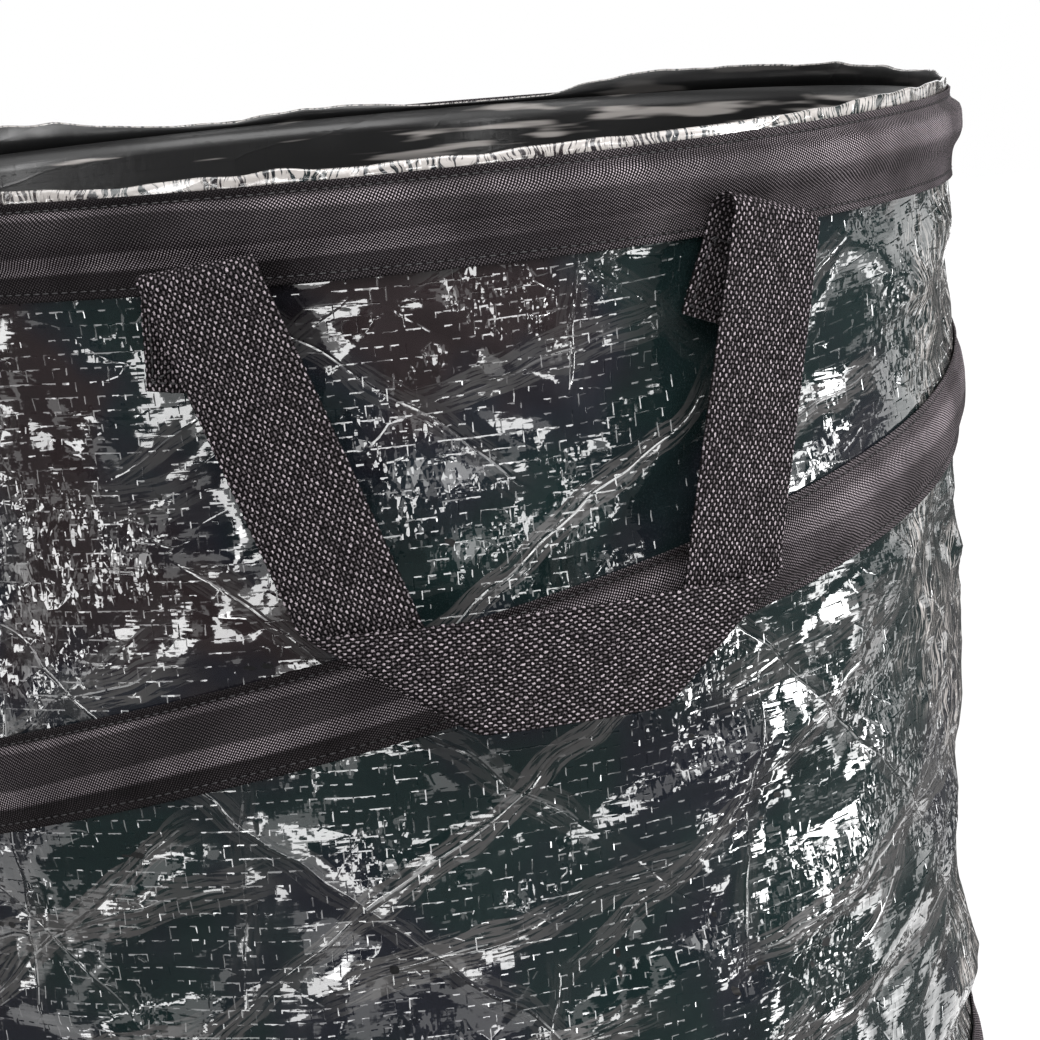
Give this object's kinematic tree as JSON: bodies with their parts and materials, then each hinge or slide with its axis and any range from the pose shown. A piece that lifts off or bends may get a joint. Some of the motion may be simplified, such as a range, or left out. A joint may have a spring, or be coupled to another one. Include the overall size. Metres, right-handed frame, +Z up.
{
  "type": "pop up leaf bag",
  "caption": "Round pop-up garden leaf bag: woven sheet held open by a spiral spring between two sewn hoops, with two webbing handles.",
  "frame": {"origin": "middle of the bag's underside, on the floor", "axes": "+Z up; -Y is the front, where the front handle hangs"},
  "size_m": [0.465, 0.4824, 0.56],
  "materials": {
    "woven_sheet": "glossy laminated tape-woven polyethylene, near-black green",
    "floor_sheet": "laminated woven polyethylene",
    "sheet_lip": "glossy folded edge of the woven sheet",
    "casing_tape": "fine twill binding tape, warm dark grey",
    "webbing": "chunky basket-weave polypropylene webbing, charcoal",
    "spring_steel": "drawn spring wire",
    "crimped_sleeve": "plain crimped sleeve",
    "hook_tab": "hook tape",
    "loop_patch": "brushed loop tape"
  },
  "bodies": {
    "base": {"base_panel": "floor_sheet", "base_casing": "casing_tape", "base_hoop": "spring_steel", "base_hoop_ferrule": "crimped_sleeve", "wall_panel": "woven_sheet", "wall_seam": "woven_sheet", "spiral_spring": "spring_steel", "spiral_casing": "casing_tape", "closure_patch_left": "loop_patch", "closure_patch_right": "loop_patch"},
    "rim": {"rim_casing": "casing_tape", "rim_hoop": "spring_steel", "rim_hoop_ferrule": "crimped_sleeve", "rim_hem": "sheet_lip", "front_tail_left": "webbing", "front_tail_right": "webbing", "front_fold_left": "webbing", "front_fold_right": "webbing", "rear_tail_left": "webbing", "rear_tail_right": "webbing", "rear_fold_left": "webbing", "rear_fold_right": "webbing"},
    "front_handle_loop": {"front_handle": "webbing"},
    "rear_handle_loop": {"rear_handle": "webbing"},
    "closure_tab_left_body": {"closure_tab_left": "hook_tab"},
    "closure_tab_right_body": {"closure_tab_right": "hook_tab"}
  },
  "joints": [
    {"name": "collapse", "type": "slide", "parent": "base", "child": "rim", "axis": [0, 0, -1], "range_m": [0, 0.47], "stiffness_N_per_m": 40, "springref_m": -0.15, "deforming": ["wall_panel", "wall_seam", "spiral_spring", "spiral_casing"]},
    {"name": "front_handle_swing", "type": "hinge", "parent": "rim", "child": "front_handle_loop", "pos_m": [0, -0.22169, 0.5315], "axis": [-1, 0, 0], "range_deg": [0, 110], "deforming": ["front_fold_left", "front_fold_right"]},
    {"name": "rear_handle_swing", "type": "hinge", "parent": "rim", "child": "rear_handle_loop", "pos_m": [0, 0.22169, 0.5315], "axis": [1, 0, 0], "range_deg": [0, 110], "deforming": ["rear_fold_left", "rear_fold_right"]},
    {"name": "closure_tab_left_flex", "type": "hinge", "parent": "rim", "child": "closure_tab_left_body", "pos_m": [-0.22663, -0.01585, 0.5216], "axis": [-0.0698, 0.9976, 0], "range_deg": [0, 90]},
    {"name": "closure_tab_right_flex", "type": "hinge", "parent": "rim", "child": "closure_tab_right_body", "pos_m": [0.22663, -0.01585, 0.5216], "axis": [-0.0698, -0.9976, 0], "range_deg": [0, 90]}
  ]
}
